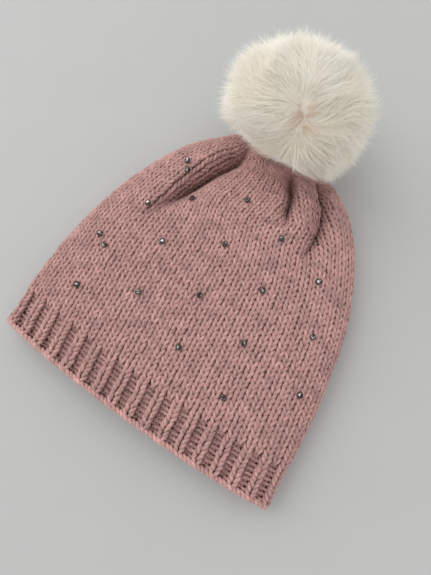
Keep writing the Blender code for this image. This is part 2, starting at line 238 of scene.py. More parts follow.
# Painted shade: the dark sheet seen between the stitches.
SHADE_SHEET_COLOUR = (0.070, 0.020, 0.018)
FUR_COLOUR = (1.0, 0.955, 0.84)
FUR_WHITE = (0.99, 0.97, 0.90)
FUR_ROOT = (0.98, 0.92, 0.80)
SKIN_COLOUR = (0.70, 0.46, 0.34)
FLOOR_COLOUR = (0.545, 0.550, 0.540)
PLY_LENGTH = 0.0055
SHEEN_ROUGHNESS = 0.6
GLOW_RADIUS = (1.0, 0.9, 0.75)
GLOW_SCALE = 0.004

# The photograph's camera.
PHOTO_WIDTH = 431
PHOTO_HEIGHT = 575
FOCAL_PIXELS = 432
SENSOR = 36.0
CAMERA_PLACE = (0.0460, -0.0738, 0.3123)
CAMERA_TILT = math.radians(15.0)
CAMERA_TURN = math.radians(34.236)
CLIP_START = 0.01

# The stage.
FLOOR_SIZE = 6.0
FLOOR_DROP = 0.0004
WORLD_LEVEL = 0.74
WINDOW_PLACE = (-5.0, 0.8, 4.0)
WINDOW_SIZE = 7.0
WINDOW_POWER = 215.0

rng = np.random.default_rng(7)


def unit(vectors):
    return vectors / np.maximum(np.linalg.norm(vectors, axis=-1, keepdims=True), 1e-12)


def ease(low, high, x):
    t = np.clip((x - low) / (high - low), 0.0, 1.0)
    return t * t * (3 - 2 * t)


# The cloth.
def height_at(table, v):
    if v <= table[0][0]:
        return table[0][1]
    for (v0, h0), (v1, h1) in zip(table, table[1:]):
        if v <= v1:
            return h0 + (h1 - h0) * float(ease(v0, v1, v))
    return table[-1][1]


def smooth_path(points, samples=240):
    """A smooth curve through the points: its length so far and its points."""
    p = np.array(points)
    p = np.vstack([p[:1], p, p[-1:]])
    t = np.linspace(0, len(points) - 1, samples + 1)
    k = np.minimum(t.astype(int), len(points) - 2)
    f = (t - k)[:, None]
    a, b, c, d = p[k], p[k + 1], p[k + 2], p[k + 3]
    curve = b + 0.5 * ((c - a) * f + (2 * a - 5 * b + 4 * c - d) * f ** 2 + (3 * b - a - 3 * c + d) * f ** 3)
    steps = np.linalg.norm(np.diff(curve, axis=0), axis=1)
    return np.concatenate([[0.0], np.cumsum(steps)]), curve


def along(path, share):
    length, curve = path
    return np.array([np.interp(share * length[-1], length, curve[:, i]) for i in range(2)])


LEFT = smooth_path(LEFT_SIDE + [(CROWN_X - COLLAR_RADIUS, CROWN_Y)])
RIGHT = smooth_path(RIGHT_SIDE + [(CROWN_X + COLLAR_RADIUS, CROWN_Y)])
MIDDLE = smooth_path([(0.0, MOUTH_Y - MOUTH_BOW), (MIDDLE_LEAN * CROWN_X, 0.5 * (MOUTH_Y + CROWN_Y)),
                      (CROWN_X, CROWN_Y)])
HEM_SHARE = COLLAR_SHARE * HEM_HEIGHT / MIDDLE[0][-1]
EDGE_SHARE = COLLAR_SHARE * EDGE_HEIGHT / MIDDLE[0][-1]
BODY_STEP = (LAST_ROW - HEM_SHARE) / BODY_ROWS
ROW_SHARES = np.concatenate([
    EDGE_SHARE + (HEM_SHARE - EDGE_SHARE) * (np.arange(HEM_ROWS) + 0.5) / HEM_ROWS,
    HEM_SHARE + BODY_STEP * (np.arange(BODY_ROWS) + 0.5),
])


def side_share(path, v):
    near = min(MIDDLE[0][-1] / path[0][-1], 1.0)
    return near * v + (1.0 - near) * v ** ROW_STRETCH_POWER


def valleys(lines, x, y, fade_from=FOLD_FADE):
    """At each point seen from above: how deep the deepest valley is, and how far the cloth leans over it."""
    depth = np.zeros_like(x)
    here = np.stack([x, y], -1)
    shift = np.zeros_like(here)
    for line, deep, wide_left, wide_right, over in lines:
        best = np.full(x.shape, np.inf)
        share = np.zeros_like(x)
        side = np.ones_like(x)
        way = np.zeros_like(here)
        for k, (p, q) in enumerate(zip(line, line[1:])):
            run = np.array(q) - np.array(p)
            off = here - np.array(p)
            t = np.clip((off @ run) / (run @ run), 0.0, 1.0)
            far = np.linalg.norm(off - t[:, None] * run, axis=1)
            closer = far < best
            best = np.where(closer, far, best)
            share = np.where(closer, (k + t) / (len(line) - 1), share)
            side = np.where(closer, run[0] * off[:, 1] - run[1] * off[:, 0], side)
            way = np.where(closer[:, None], unit(np.array([-run[1], run[0]])), way)
        wide = np.where(side < 0, wide_left, wide_right)
        fade = 1.0 - ease(fade_from, 1.0, share)
        depth = np.maximum(depth, deep * fade * np.exp(-((best / wide) ** 2)))
        lean = over * fade * np.exp(-(((best - LEAN_FROM) / LEAN_WIDTH) ** 2)) * (side < 0)
        shift = shift + lean[:, None] * way
    return depth, shift


def section(share):
    """Closed section of the cloth at a share from mouth to crown: right side, front, left side, back.
    The second line has the folds nearly smoothed out; the stitches are spaced along it."""
    v = min(share / COLLAR_SHARE, 1.0)
    gather = max((share - COLLAR_SHARE) / (1.0 - COLLAR_SHARE), 0.0)
    left = along(LEFT, side_share(LEFT, v))
    right = along(RIGHT, side_share(RIGHT, v))
    mid = along(MIDDLE, v)
    turn = float(ease(CROWN_TURN_START, 1.0, v))
    back_turn = float(ease(BACK_TURN_START, 1.0, v))
    side_z = height_at(SIDE_HEIGHTS, v) * (1 - turn) + CROWN_Z * turn
    ring_rise = COLLAR_RADIUS * math.cos(POM_AXIS_RISE)
    ring_lean = COLLAR_RADIUS * math.sin(POM_AXIS_RISE)
    front = (height_at(TOP_HEIGHTS, v) - height_at(SIDE_HEIGHTS, v)) * (1 - turn) + ring_rise * turn
    back = (side_z - WALL / 2 + UNDERSIDE_SQUASH) * (1 - back_turn) + ring_rise * back_turn
    power = FLAT_POWER + (ROUND_POWER - FLAT_POWER) * turn
    angle = np.linspace(0, 2 * math.pi, SECTION_SAMPLES + 1)
    s = np.cos(angle)
    q = np.sqrt(np.maximum(1.0 - np.abs(s) ** power, 0.0)) * np.where(angle <= math.pi, 1.0, -1.0)
    flat = mid + np.outer(s, (right - left) / 2) + np.outer(s * s, (right + left) / 2 - mid)
    x = flat[:, 0]
    y = flat[:, 1] - ring_lean * turn * q
    z = side_z + np.where(q > 0, front, back) * q
    keep = 1 - float(ease(CREASE_END, 1.0, v))
    deep, shift = valleys(CREASES, x, y, CREASE_FADE)
    sink = (valleys(FOLDS, x, y)[0] - valleys(ROLLS, x, y)[0]) * (1 - turn) + deep * keep
    front_side = np.maximum(q, 0)
    shift = shift * (keep * front_side)[:, None]
    centre = np.array([CROWN_X, CROWN_Y, CROWN_Z])
    made = []
    for part in (1.0, GUIDE_SHARE):
        level = np.maximum(z - part * sink * front_side, WALL / 2)
        points = np.stack([x + part * shift[:, 0], y + part * shift[:, 1], level], -1)
        made.append(points + (centre - points) * gather * (1 - CROWN_RADIUS / COLLAR_RADIUS))
    return made


def even_round(points, count, guide):
    """Points of an open line, spaced evenly along its guide."""
    length = np.concatenate([[0.0], np.cumsum(np.linalg.norm(np.diff(guide, axis=0), axis=1))])
    want = np.linspace(0, length[-1], count + 1)[:-1]
    return np.stack([np.interp(want, length, points[:, i]) for i in range(3)], -1)


def cloth_table():
    """The cloth as a grid of points and outward normals: rows from mouth to crown, columns round it."""
    half = SECTION_SAMPLES // 2
    rows = ([], [])
    for share in np.linspace(0, 1, TABLE_ROWS + 1):
        made = section(share)
        for row, line in zip(rows, made):
            row.append(np.vstack([even_round(line[:half + 1], TABLE_COLUMNS // 2, made[1][:half + 1]),
                                  even_round(line[half:], TABLE_COLUMNS // 2, made[1][half:])]))
    points, guide = (np.array(row) for row in rows)
    first, last = int(EVEN_FROM * TABLE_ROWS), int(COLLAR_SHARE * TABLE_ROWS)
    for column in range(TABLE_COLUMNS):
        points[first:last, column] = even_round(points[first:last + 1, column], last - first,
                                                guide[first:last + 1, column])
    round_it = np.roll(points, -1, axis=1) - np.roll(points, 1, axis=1)
    normal = np.cross(round_it, np.gradient(points, axis=0))
    for _ in range(NORMAL_PASSES):
        normal = (normal + np.roll(normal, 1, axis=1) + np.roll(normal, -1, axis=1)) / 3
    normal = unit(normal)
    if ((points - points.mean(axis=1, keepdims=True)) * normal).sum() < 0:
        normal = -normal
    return points, normal


CLOTH_POINTS, CLOTH_NORMALS = cloth_table()


def cloth(u, v, w):
    """Points at u round the hat, v from mouth to crown (both 0 to 1) and w out from the cloth's middle."""
    column = ((np.asarray(u) + KNIT_SKEW * np.asarray(v)) % 1.0) * TABLE_COLUMNS
    row = np.clip(v, 0.0, 1.0) * TABLE_ROWS
    i = np.floor(column).astype(int) % TABLE_COLUMNS
    j = np.minimum(np.floor(row).astype(int), TABLE_ROWS - 1)
    f = (column - np.floor(column))[..., None]
    g = (row - j)[..., None]
    k = (i + 1) % TABLE_COLUMNS

    def mix(grid):
        low = (1 - f) * grid[j, i] + f * grid[j, k]
        high = (1 - f) * grid[j + 1, i] + f * grid[j + 1, k]
        return low * (1 - g) + high * g

    normal = unit(mix(CLOTH_NORMALS))
    return mix(CLOTH_POINTS) + normal * np.asarray(w)[..., None], normal


def rib_fade(v):
    """The ribs fade away above the hem."""
    return 1.0 - ease(-HEM_SHARE, HEM_SHARE + RIB_FADE_ROWS * BODY_STEP, v)


def rib(u, v):
    """How far the ribs stand out from the cloth."""
    return RIB_RISE * (np.cos(math.pi * (u * WALES - 0.5)) - 0.5) * rib_fade(v)


def rib_spread(u, v):
    """The ribs widen and close the furrows between them."""
    return u + RIB_WIDEN * rib_fade(v) * np.sin(math.pi * (u * WALES - 0.5)) / (math.pi * WALES)


# Meshes.
def show(name, mesh, look):
    """Puts a mesh in the scene as a smooth piece with one finish."""
    mesh.materials.clear()
    mesh.materials.append(look)
    mesh.shade_smooth()
    piece = bpy.data.objects.new(name, mesh)
    bpy.context.scene.collection.objects.link(piece)
    return piece


def new_mesh(name, verts, faces, look):
    mesh = bpy.data.meshes.new(name)
    mesh.from_pydata(verts.tolist(), [], faces)
    return show(name, mesh, look)


def tube(points, normals, radius, sides):
    """A closed tube round a line that closes on itself: corners, faces, and each corner's length along,
    angle round and way out."""
    n = len(points)
    run = unit(np.roll(points, -1, axis=0) - np.roll(points, 1, axis=0))
    side = unit(np.cross(run, normals))
    out = np.cross(side, run)
    angle = np.arange(sides) * 2 * math.pi / sides
    ring = np.cos(angle)[None, :, None] * out[:, None, :] + np.sin(angle)[None, :, None] * side[:, None, :]
    verts = points[:, None, :] + ring * np.broadcast_to(radius, (n,))[:, None, None]
    i = np.arange(n)[:, None]
    k = np.arange(sides)[None, :]
    nexti = (i + 1) % n
    nextk = (k + 1) % sides
    faces = np.stack([i * sides + k, i * sides + nextk, nexti * sides + nextk, nexti * sides + k], -1)
    steps = np.linalg.norm(np.diff(points, axis=0, prepend=points[:1]), axis=1)
    length = np.repeat(np.cumsum(steps), sides)
    return verts.reshape(-1, 3), faces.reshape(-1, 4), length, np.tile(angle, n), ring.reshape(-1, 3)


def strands(roots, bends, tips, out, radius, segments):
    """Fine three-sided hairs that bend once, a flat side outward: corners, faces, and how far along its
    hair each corner is."""
    n = len(roots)
    t = np.arange(segments) / segments
    line = (roots[:, None] * ((1 - t) ** 2)[None, :, None]
            + bends[:, None] * (2 * t * (1 - t))[None, :, None]
            + tips[:, None] * (t * t)[None, :, None])
    run = unit(tips - roots)
    side = -unit(out - (out * run).sum(-1)[:, None] * run)
    other = np.cross(run, side)
    angle = np.arange(3) * 2 * math.pi / 3
    ring = np.cos(angle)[None, :, None] * side[:, None] + np.sin(angle)[None, :, None] * other[:, None]
    wide = radius[:, None] * (1 - HAIR_TAPER * t)[None]
    rings = line[:, :, None] + wide[:, :, None, None] * ring[:, None]
    corners = np.concatenate([rings.reshape(n, -1, 3), tips[:, None]], 1)
    tris = [(0, 2, 1)]
    for s in range(segments - 1):
        for q in range(3):
            a, b = 3 * s + q, 3 * s + (q + 1) % 3
            tris += [(a, b, b + 3), (a, b + 3, a + 3)]
    last = 3 * (segments - 1)
    tris += [(last + q, last + (q + 1) % 3, last + 3) for q in range(3)]
    per = corners.shape[1]
    faces = (np.arange(n)[:, None, None] * per + np.array(tris)[None]).reshape(-1, 3)
    share = np.append(np.repeat(t, 3), 1.0)
    return corners.reshape(-1, 3), faces, np.tile(share, n)


def set_tint(piece, colours):
    """The colour of each corner."""
    data = np.ones((len(colours), 4), np.float32)
    data[:, :3] = colours
    layer = piece.data.color_attributes.new("tint", "FLOAT_COLOR", "POINT")
    layer.data.foreach_set("color", data.ravel())


def set_ply(piece, length, angle):
    """Where each corner lies on its yarn, for the twist in the yarn's finish."""
    data = np.stack([length, np.cos(2 * angle), np.sin(2 * angle)], -1).astype(np.float32)
    layer = piece.data.attributes.new("ply", "FLOAT_VECTOR", "POINT")
    layer.data.foreach_set("vector", data.ravel())


def put(piece, body, slot, *nodes):
    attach(piece, body)
    if nodes:
        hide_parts(*nodes)
    return piece


# Finishes.
class Finish:
    """A material and short ways to add nodes to it."""

    def __init__(self, name, roughness, metallic=0.0):
        self.made = bpy.data.materials.new(name)
        self.made.use_nodes = True
        self.tree = self.made.node_tree
        self.shader = self.tree.nodes["Principled BSDF"]
        self.shader.inputs["Roughness"].default_value = roughness
        self.shader.inputs["Metallic"].default_value = metallic
        self.place = self.tree.nodes.new("ShaderNodeTexCoord").outputs["Object"]

    def link(self, a, b):
        self.tree.links.new(a, b)

    def attribute(self, name, output):
        node = self.tree.nodes.new("ShaderNodeAttribute")
        node.attribute_name = name
        return node.outputs[output]

    def noise(self, scale, detail=2.0):
        node = self.tree.nodes.new("ShaderNodeTexNoise")
        node.inputs["Scale"].default_value = scale
        node.inputs["Detail"].default_value = detail
        self.link(self.place, node.inputs["Vector"])
        return node.outputs["Fac"]

    def cells(self, scale):
        node = self.tree.nodes.new("ShaderNodeTexVoronoi")
        node.inputs["Scale"].default_value = scale
        self.link(self.place, node.inputs["Vector"])
        return node.outputs["Color"]

    def maths(self, operation, *values):
        node = self.tree.nodes.new("ShaderNodeMath")
        node.operation = operation
        for k, value in enumerate(values):
            if isinstance(value, (int, float)):
                node.inputs[k].default_value = value
            else:
                self.link(value, node.inputs[k])
        return node.outputs[0]

    def ramp(self, value, low, high, start=0.3, end=0.7):
        node = self.tree.nodes.new("ShaderNodeValToRGB")
        node.color_ramp.elements[0].position = start
        node.color_ramp.elements[0].color = (*low, 1)
        node.color_ramp.elements[1].position = end
        node.color_ramp.elements[1].color = (*high, 1)
        self.link(value, node.inputs[0])
        return node.outputs[0]

    def times(self, a, b):
        node = self.tree.nodes.new("ShaderNodeMix")
        node.data_type = "RGBA"
        node.blend_type = "MULTIPLY"
        node.inputs[0].default_value = 1.0
        self.link(a, node.inputs[6])
        self.link(b, node.inputs[7])
        return node.outputs[2]

    def colour(self, value):
        self.link(value, self.shader.inputs["Base Color"])

    def bump(self, height, distance, strength):
        node = self.tree.nodes.new("ShaderNodeBump")
        node.inputs["Strength"].default_value = strength
        node.inputs["Distance"].default_value = distance
        self.link(height, node.inputs["Height"])
        self.link(node.outputs[0], self.shader.inputs["Normal"])

    def sheen(self, weight, tint):
        self.shader.inputs["Sheen Weight"].default_value = weight
        self.shader.inputs["Sheen Roughness"].default_value = SHEEN_ROUGHNESS
        self.shader.inputs["Sheen Tint"].default_value = (*tint, 1)


def crystal_glint_finish():
    """Cut glass on a dark foil, with painted glints: facet cells painted bright or dark at random."""
    f = Finish("cut_crystal", 0.08, 0.7)
    # Painted glints: some random facet cells are painted bright, the rest dark.
    f.colour(f.ramp(f.cells(1100.0), (0.055, 0.045, 0.040), (0.85, 0.83, 0.80), 0.56, 0.76))
    return f.made


def grey(level):
    return (level, level, level)


def yarn_finish():
    """Two plies twisted together, a little uneven in colour and fuzzy, with painted shade in the grooves
    between the plies.
    """
    f = Finish("pink_yarn", 0.95)
    ply = f.tree.nodes.new("ShaderNodeSeparateXYZ")
    f.link(f.attribute("ply", "Vector"), ply.inputs[0])
    turn = f.maths("MULTIPLY", ply.outputs[0], 2 * math.pi / PLY_LENGTH)
    first = f.maths("MULTIPLY", f.maths("SINE", turn), ply.outputs[1])
    twist = f.maths("MULTIPLY_ADD", f.maths("COSINE", turn), ply.outputs[2], first)
    fuzz = f.noise(1500.0, 4.0)
    speckle = f.ramp(fuzz, grey(0.72), grey(1.22))
    # Painted shade: darker in the grooves between the plies.
    groove_shade = f.ramp(f.maths("MULTIPLY_ADD", twist, 0.5, 0.5), grey(0.84), grey(1.06), 0.1, 0.6)
    blotch = f.ramp(f.noise(60.0), (0.93, 0.91, 0.92), (1.07, 1.05, 1.03))
    f.colour(f.times(f.times(f.attribute("tint", "Color"), speckle), f.times(groove_shade, blotch)))
    f.bump(f.maths("MULTIPLY_ADD", twist, 0.6, fuzz), 0.0005, 0.6)
    f.sheen(0.25, (0.95, 0.84, 0.82))
    return f.made


def tinted_finish(name, roughness, scale, spread, sheen=0.0, glow=0.0):
    """The corners' own colours with a fine speckle; glow lets light soak through."""
    f = Finish(name, roughness)
    f.shader.inputs["Subsurface Weight"].default_value = glow
    f.shader.inputs["Subsurface Radius"].default_value = GLOW_RADIUS
    f.shader.inputs["Subsurface Scale"].default_value = GLOW_SCALE
    speckle = f.ramp(f.noise(scale, 3.0), grey(1 - spread), grey(1 + spread))
    f.colour(f.times(f.attribute("tint", "Color"), speckle))
    if sheen:
        f.sheen(sheen, (1, 0.97, 0.92))
    return f.made


def plain_finish(name, colour, roughness, metallic=0.0, scale=400.0, spread=0.12, bump=0.0):
    """One colour with a fine speckle, rough if it is given a bump."""
    f = Finish(name, roughness, metallic)
    grain = f.noise(scale, 3.0)
    low = tuple(c * (1 - spread) for c in colour)
    high = tuple(c * (1 + spread) for c in colour)
    f.colour(f.ramp(grain, low, high))
    if bump:
        f.bump(grain, bump, 0.7)
    return f.made


# The knitting.
def wander(spread, count):
    """Smooth chance changes along a row that meet where it closes."""
    knots = rng.normal(0, spread, 2 * WALES)
    place = np.arange(count) * 2 * WALES / count
    return np.interp(place, np.arange(2 * WALES + 1), np.append(knots, knots[0]))


def row_height(row):
    low = max(row - 1, 0)
    high = min(row + 1, len(ROW_SHARES) - 1)
    return (ROW_SHARES[high] - ROW_SHARES[low]) / (high - low)


def knit_row(row):
    """One course of knitting: a yarn that loops once for each stitch round the hat, and its colours, with
    painted shade on the deep legs and on the yarn's flanks.
    """
    wales = WALES if ROW_SHARES[row] < DECREASE_SHARE else WALES // 2
    count = wales * STITCH_POINTS
    t = np.arange(count) / STITCH_POINTS
    wale = np.floor(t).astype(int)
    f = t - wale
    leg = (1 - np.cos(4 * math.pi * f)) / 2
    lean = LOOP_LEAN * np.sin(4 * math.pi * f) + LOOP_PINCH * np.sin(2 * math.pi * f)
    u = (t + lean + wander(PLACE_SPREAD, count)) / wales
    rise = -LOOP_HEIGHT * np.cos(2 * math.pi * f) + wander(ROW_SPREAD, count)
    v = ROW_SHARES[row] + rise * row_height(row)
    depth = LEG_RISE * (2 * leg - 1)
    if row < HEM_ROWS:
        depth = np.where(wale % 2 == 0, depth, -depth - PURL_SINK)
    depth = depth + wander(DEPTH_SPREAD, count)
    base, normal = cloth(rib_spread(u, v), v, np.zeros(count))
    half = 0.5 / wales
    wide = np.linalg.norm(cloth(u + half, v, 0 * u)[0] - cloth(u - half, v, 0 * u)[0], axis=1)
    shrink = np.clip(wide / FULL_STITCH, LEAST_STITCH, 1.0)
    points = base + normal * ((depth + rib(u, v)) * shrink - YARN_SINK)[:, None]
    radius = YARN_RADIUS * shrink ** THINNING_POWER * (1 + YARN_SWELL * (leg - 0.5))
    radius = radius * (1 + wander(SIZE_SPREAD, count))
    points[:, 2] = np.maximum(points[:, 2], radius)
    verts, faces, length, angle, out = tube(points, normal, radius, YARN_SIDES)
    tone = 1 + wander(TONE_SPREAD, count)
    # Painted shade: legs that lie deeper in the cloth are darker and redder.
    top = ease(LEG_SHADE_DEPTHS[0] * LEG_RISE, LEG_SHADE_DEPTHS[1] * LEG_RISE, depth)[:, None]
    shade = np.array(YARN_PAINTED_SHADE) * (1 - top) + top
    colours = np.array(YARN_COLOUR) * np.repeat(tone[:, None] * shade, YARN_SIDES, axis=0)
    # Painted shade: the yarn's flanks that face sideways or in towards the cloth are darker.
    outer = ease(*FLANK_SHADE_FACING, (out * np.repeat(normal, YARN_SIDES, axis=0)).sum(-1))[:, None]
    colours = colours * (np.array(YARN_PAINTED_SHADE) * (1 - outer) + outer)
    return verts, faces, length, angle, out, colours


def cast_on_edge():
    """The first edge of the knitting: two strands that twist round each other along the mouth."""
    count = WALES * CAST_ON_POINTS
    t = np.arange(count) / CAST_ON_POINTS
    u = t / WALES
    none = np.zeros(count)
    height = np.full(count, EDGE_SHARE * CAST_ON_PLACE)
    edge, normal = cloth(u, height, CAST_ON_RIB * rib(u, none) - YARN_SINK)
    inward = unit(cloth(u, np.full(count, CAST_ON_INWARD), none)[0] - cloth(u, none, none)[0])
    made = []
    for start in (0.0, 0.5):
        turn = 2 * math.pi * (t + start)
        points = edge + CAST_ON_TWIST * (np.cos(turn)[:, None] * normal + np.sin(turn)[:, None] * inward)
        radius = CAST_ON_RADIUS * (1 + wander(SIZE_SPREAD, count))
        points[:, 2] = np.maximum(points[:, 2], radius)
        verts, faces, length, angle, out = tube(points, normal, radius, YARN_SIDES)
        tone = CAST_ON_TONE + wander(TONE_SPREAD, count)
        colours = np.array(YARN_COLOUR) * np.repeat(tone, YARN_SIDES)[:, None]
        made.append((verts, faces, length, angle, out, colours))
    return made


def drawstring():
    """The yarn end that draws the last stitches together, lying in a ring inside them."""
    _, across, up, _ = pom_frame()
    turn = np.arange(STRING_POINTS) * 2 * math.pi / STRING_POINTS
    out = np.cos(turn)[:, None] * across + np.sin(turn)[:, None] * up
    box_low, box_high = (np.array(c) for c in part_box("crown_drawstring"))
    ring = (box_high[0] - box_low[0]) / 2 - STRING_RADIUS - STRING_ROOM
    wave = STRING_WAVE * np.sin(STRING_WAVES * turn)
    points = (box_low + box_high) / 2 + out * (ring + wave)[:, None]
    verts, faces, length, angle, ways = tube(points, out, STRING_RADIUS, STRING_SIDES)
    colours = np.tile(np.array(YARN_COLOUR) * STRING_TONE, (len(verts), 1))
    return [(verts, faces, length, angle, ways, colours)]


def yarn_piece(name, tubes, look, *nodes):
    sizes = np.cumsum([0] + [len(made[0]) for made in tubes])
    verts = np.vstack([made[0] for made in tubes])
    faces = np.vstack([made[1] + start for made, start in zip(tubes, sizes)])
    piece = new_mesh(name, verts, faces.tolist(), look)
    length, angle = (np.concatenate([made[k] for made in tubes]) for k in (2, 3))
    set_ply(piece, length, angle)
    set_tint(piece, np.vstack([made[5] for made in tubes]))
    return put(piece, "hat", "yarn", *nodes)


def shade_sheet():
    """A dark sheet under the stitches: painted shade, seen between them."""
    u, v = np.meshgrid(np.arange(SHADE_SHEET_COLUMNS) / SHADE_SHEET_COLUMNS,
                       np.linspace(EDGE_SHARE, SHADE_SHEET_END, SHADE_SHEET_ROWS))
    points = cloth(rib_spread(u, v), v, rib(u, v) - SHADE_SHEET_SINK)[0]
    points[..., 2] = np.maximum(points[..., 2], SHADE_SHEET_LOW)
    i = np.arange(SHADE_SHEET_ROWS - 1)[:, None]
    k = np.arange(SHADE_SHEET_COLUMNS)[None, :]
    nextk = (k + 1) % SHADE_SHEET_COLUMNS
    start, above = i * SHADE_SHEET_COLUMNS, (i + 1) * SHADE_SHEET_COLUMNS
    faces = np.stack([start + k, start + nextk, above + nextk, above + k], -1).reshape(-1, 4)
    look = plain_finish("painted_shade_sheet", SHADE_SHEET_COLOUR, 0.95, scale=900.0, spread=0.25)
    piece = new_mesh("knit_shade_sheet", points.reshape(-1, 3), faces.tolist(), look)
    thick = piece.modifiers.new("thickness", "SOLIDIFY")
    thick.thickness = SHADE_SHEET_THICKNESS
    thick.offset = 0.0
    return put(piece, "hat", "yarn", "knit_body")


def yarn_fibres(tubes, look):
    """Loose fibres that stand off the yarn."""
    verts = np.vstack([made[0] for made in tubes])
    out = np.vstack([made[4] for made in tubes])
    colours = np.vstack([made[5] for made in tubes])
    pick = rng.choice(len(verts), FIBRES, replace=False)
    roots = verts[pick]
    way = unit(out[pick] + rng.normal(0, FIBRE_SPREAD, (FIBRES, 3)))
    length = FIBRE_LENGTH * rng.uniform(*FIBRE_LENGTHS, FIBRES)[:, None]
    bends = roots + out[pick] * length * FIBRE_BEND
    tips = bends + unit(way + rng.normal(0, FIBRE_CURL, (FIBRES, 3))) * length * FIBRE_END
    for line in (roots, bends, tips):
        line[:, 2] = np.maximum(line[:, 2], 2 * FIBRE_RADIUS)
    radius = np.full(FIBRES, FIBRE_RADIUS)
    corners, faces, share = strands(roots, bends, tips, way, radius, FIBRE_SEGMENTS)
    piece = new_mesh("yarn_fibres", corners, faces.tolist(), look)
    # The fibres take the colours of the yarn they stand off, painted shade included.
    set_tint(piece, np.repeat(colours[pick] * FIBRE_TONE, len(share) // FIBRES, axis=0))
    return put(piece, "hat", "yarn")


def knitting():
    yarn = yarn_finish()
    rows = [knit_row(row) for row in range(HEM_ROWS + BODY_ROWS)]
    edge = cast_on_edge()
    pieces = [yarn_piece("cast_on_edge", edge, yarn, "ribbed_hem"),
              yarn_piece("ribbed_rows", rows[:HEM_ROWS], yarn, "ribbed_hem")]
    step = math.ceil(BODY_ROWS / len(BODY_PIECES))
    for k, name in enumerate(BODY_PIECES):
        start = HEM_ROWS + k * step
        pieces.append(yarn_piece(name, rows[start:start + step], yarn, "knit_body"))
    pieces.append(yarn_fibres(rows + edge, tinted_finish("yarn_fibre", 0.9, 900.0, 0.1)))
    yarn_piece("drawstring_yarn", drawstring(), yarn, "crown_drawstring")
    shade_sheet()


# The pom.
def pom_frame():
    """The crown's centre, two ways across the pom's axis, and the axis."""
    axis = np.array([0.0, math.cos(POM_AXIS_RISE), math.sin(POM_AXIS_RISE)])
    across = np.array([1.0, 0.0, 0.0])
    return np.array([CROWN_X, CROWN_Y, CROWN_Z]), across, np.cross(axis, across), axis


def from_parting(out):
    """For each way out of the pom: the angle to the nearest point of the parting, and the way from it."""
    line = unit(np.array(PARTING))
    near = np.tile(line[0], (len(out), 1))
    for a, b in zip(line, line[1:]):
        share = np.clip(((out - a) @ (b - a)) / ((b - a) @ (b - a)), 0.0, 1.0)
        here = unit(a + share[:, None] * (b - a))
        closer = (out * here).sum(-1) > (out * near).sum(-1)
        near = np.where(closer[:, None], here, near)
    lean = (out * near).sum(-1)
    return np.arccos(np.clip(lean, -1, 1)), unit(out * lean[:, None] - near)


def fur_colours(out, share, tone):
    """Cream fur with whiter patches, darker towards the roots and skin-coloured in the parting."""
    patch = np.array([noise.noise(Vector(o) * PATCH_SCALE + Vector(PATCH_START)) for o in out])
    white = ease(*PATCH_EDGES, patch + tone)[:, None]
    tip = np.array(FUR_COLOUR) * (1 - white) + np.array(FUR_WHITE) * white
    angle = from_parting(out)[0]
    skin = np.exp(-((angle / PARTING_WIDTH) ** 2))[:, None]
    root = np.array(FUR_ROOT) * (1 - skin) + np.array(SKIN_COLOUR) * skin
    bright = ease(0.0, ROOT_SHARE, share)[:, None]
    return root * (1 - bright) + tip * bright


def spread_round(count, jitter):
    """Ways spread evenly over a ball."""
    k = np.arange(count) + 0.5
    z = 1 - 2 * k / count
    phi = math.pi * (1 + 5 ** 0.5) * k
    wide = np.sqrt(1 - z * z)
    even = np.stack([wide * np.cos(phi), wide * np.sin(phi), z], -1)
    return unit(even + rng.normal(0, jitter, (count, 3)))


def pom_form(out):
    """How far the pom reaches each way, as a share of its radius: a ball, flatter above its middle and
    pressed in over the front of the crown."""
    height = np.maximum(out @ pom_frame()[3], 0.0)
    hollow = HOLLOW_SHARE * ease(HOLLOW_FROM, 1.0, out @ unit(np.array(HOLLOW_WAY)))
    return (1 - hollow) / np.sqrt(1 - height ** 2 + (height / POM_TOP_SHARE) ** 2)


def above_base(points):
    """Keeps points off the crown's cloth and off the floor."""
    crown, _, _, axis = pom_frame()
    height = (points - crown) @ axis
    points = points + np.maximum(FUR_BASE - HAIR_HANG - height, 0)[:, None] * axis
    points[:, 2] = np.maximum(points[:, 2], HAIR_LOW)
    return points


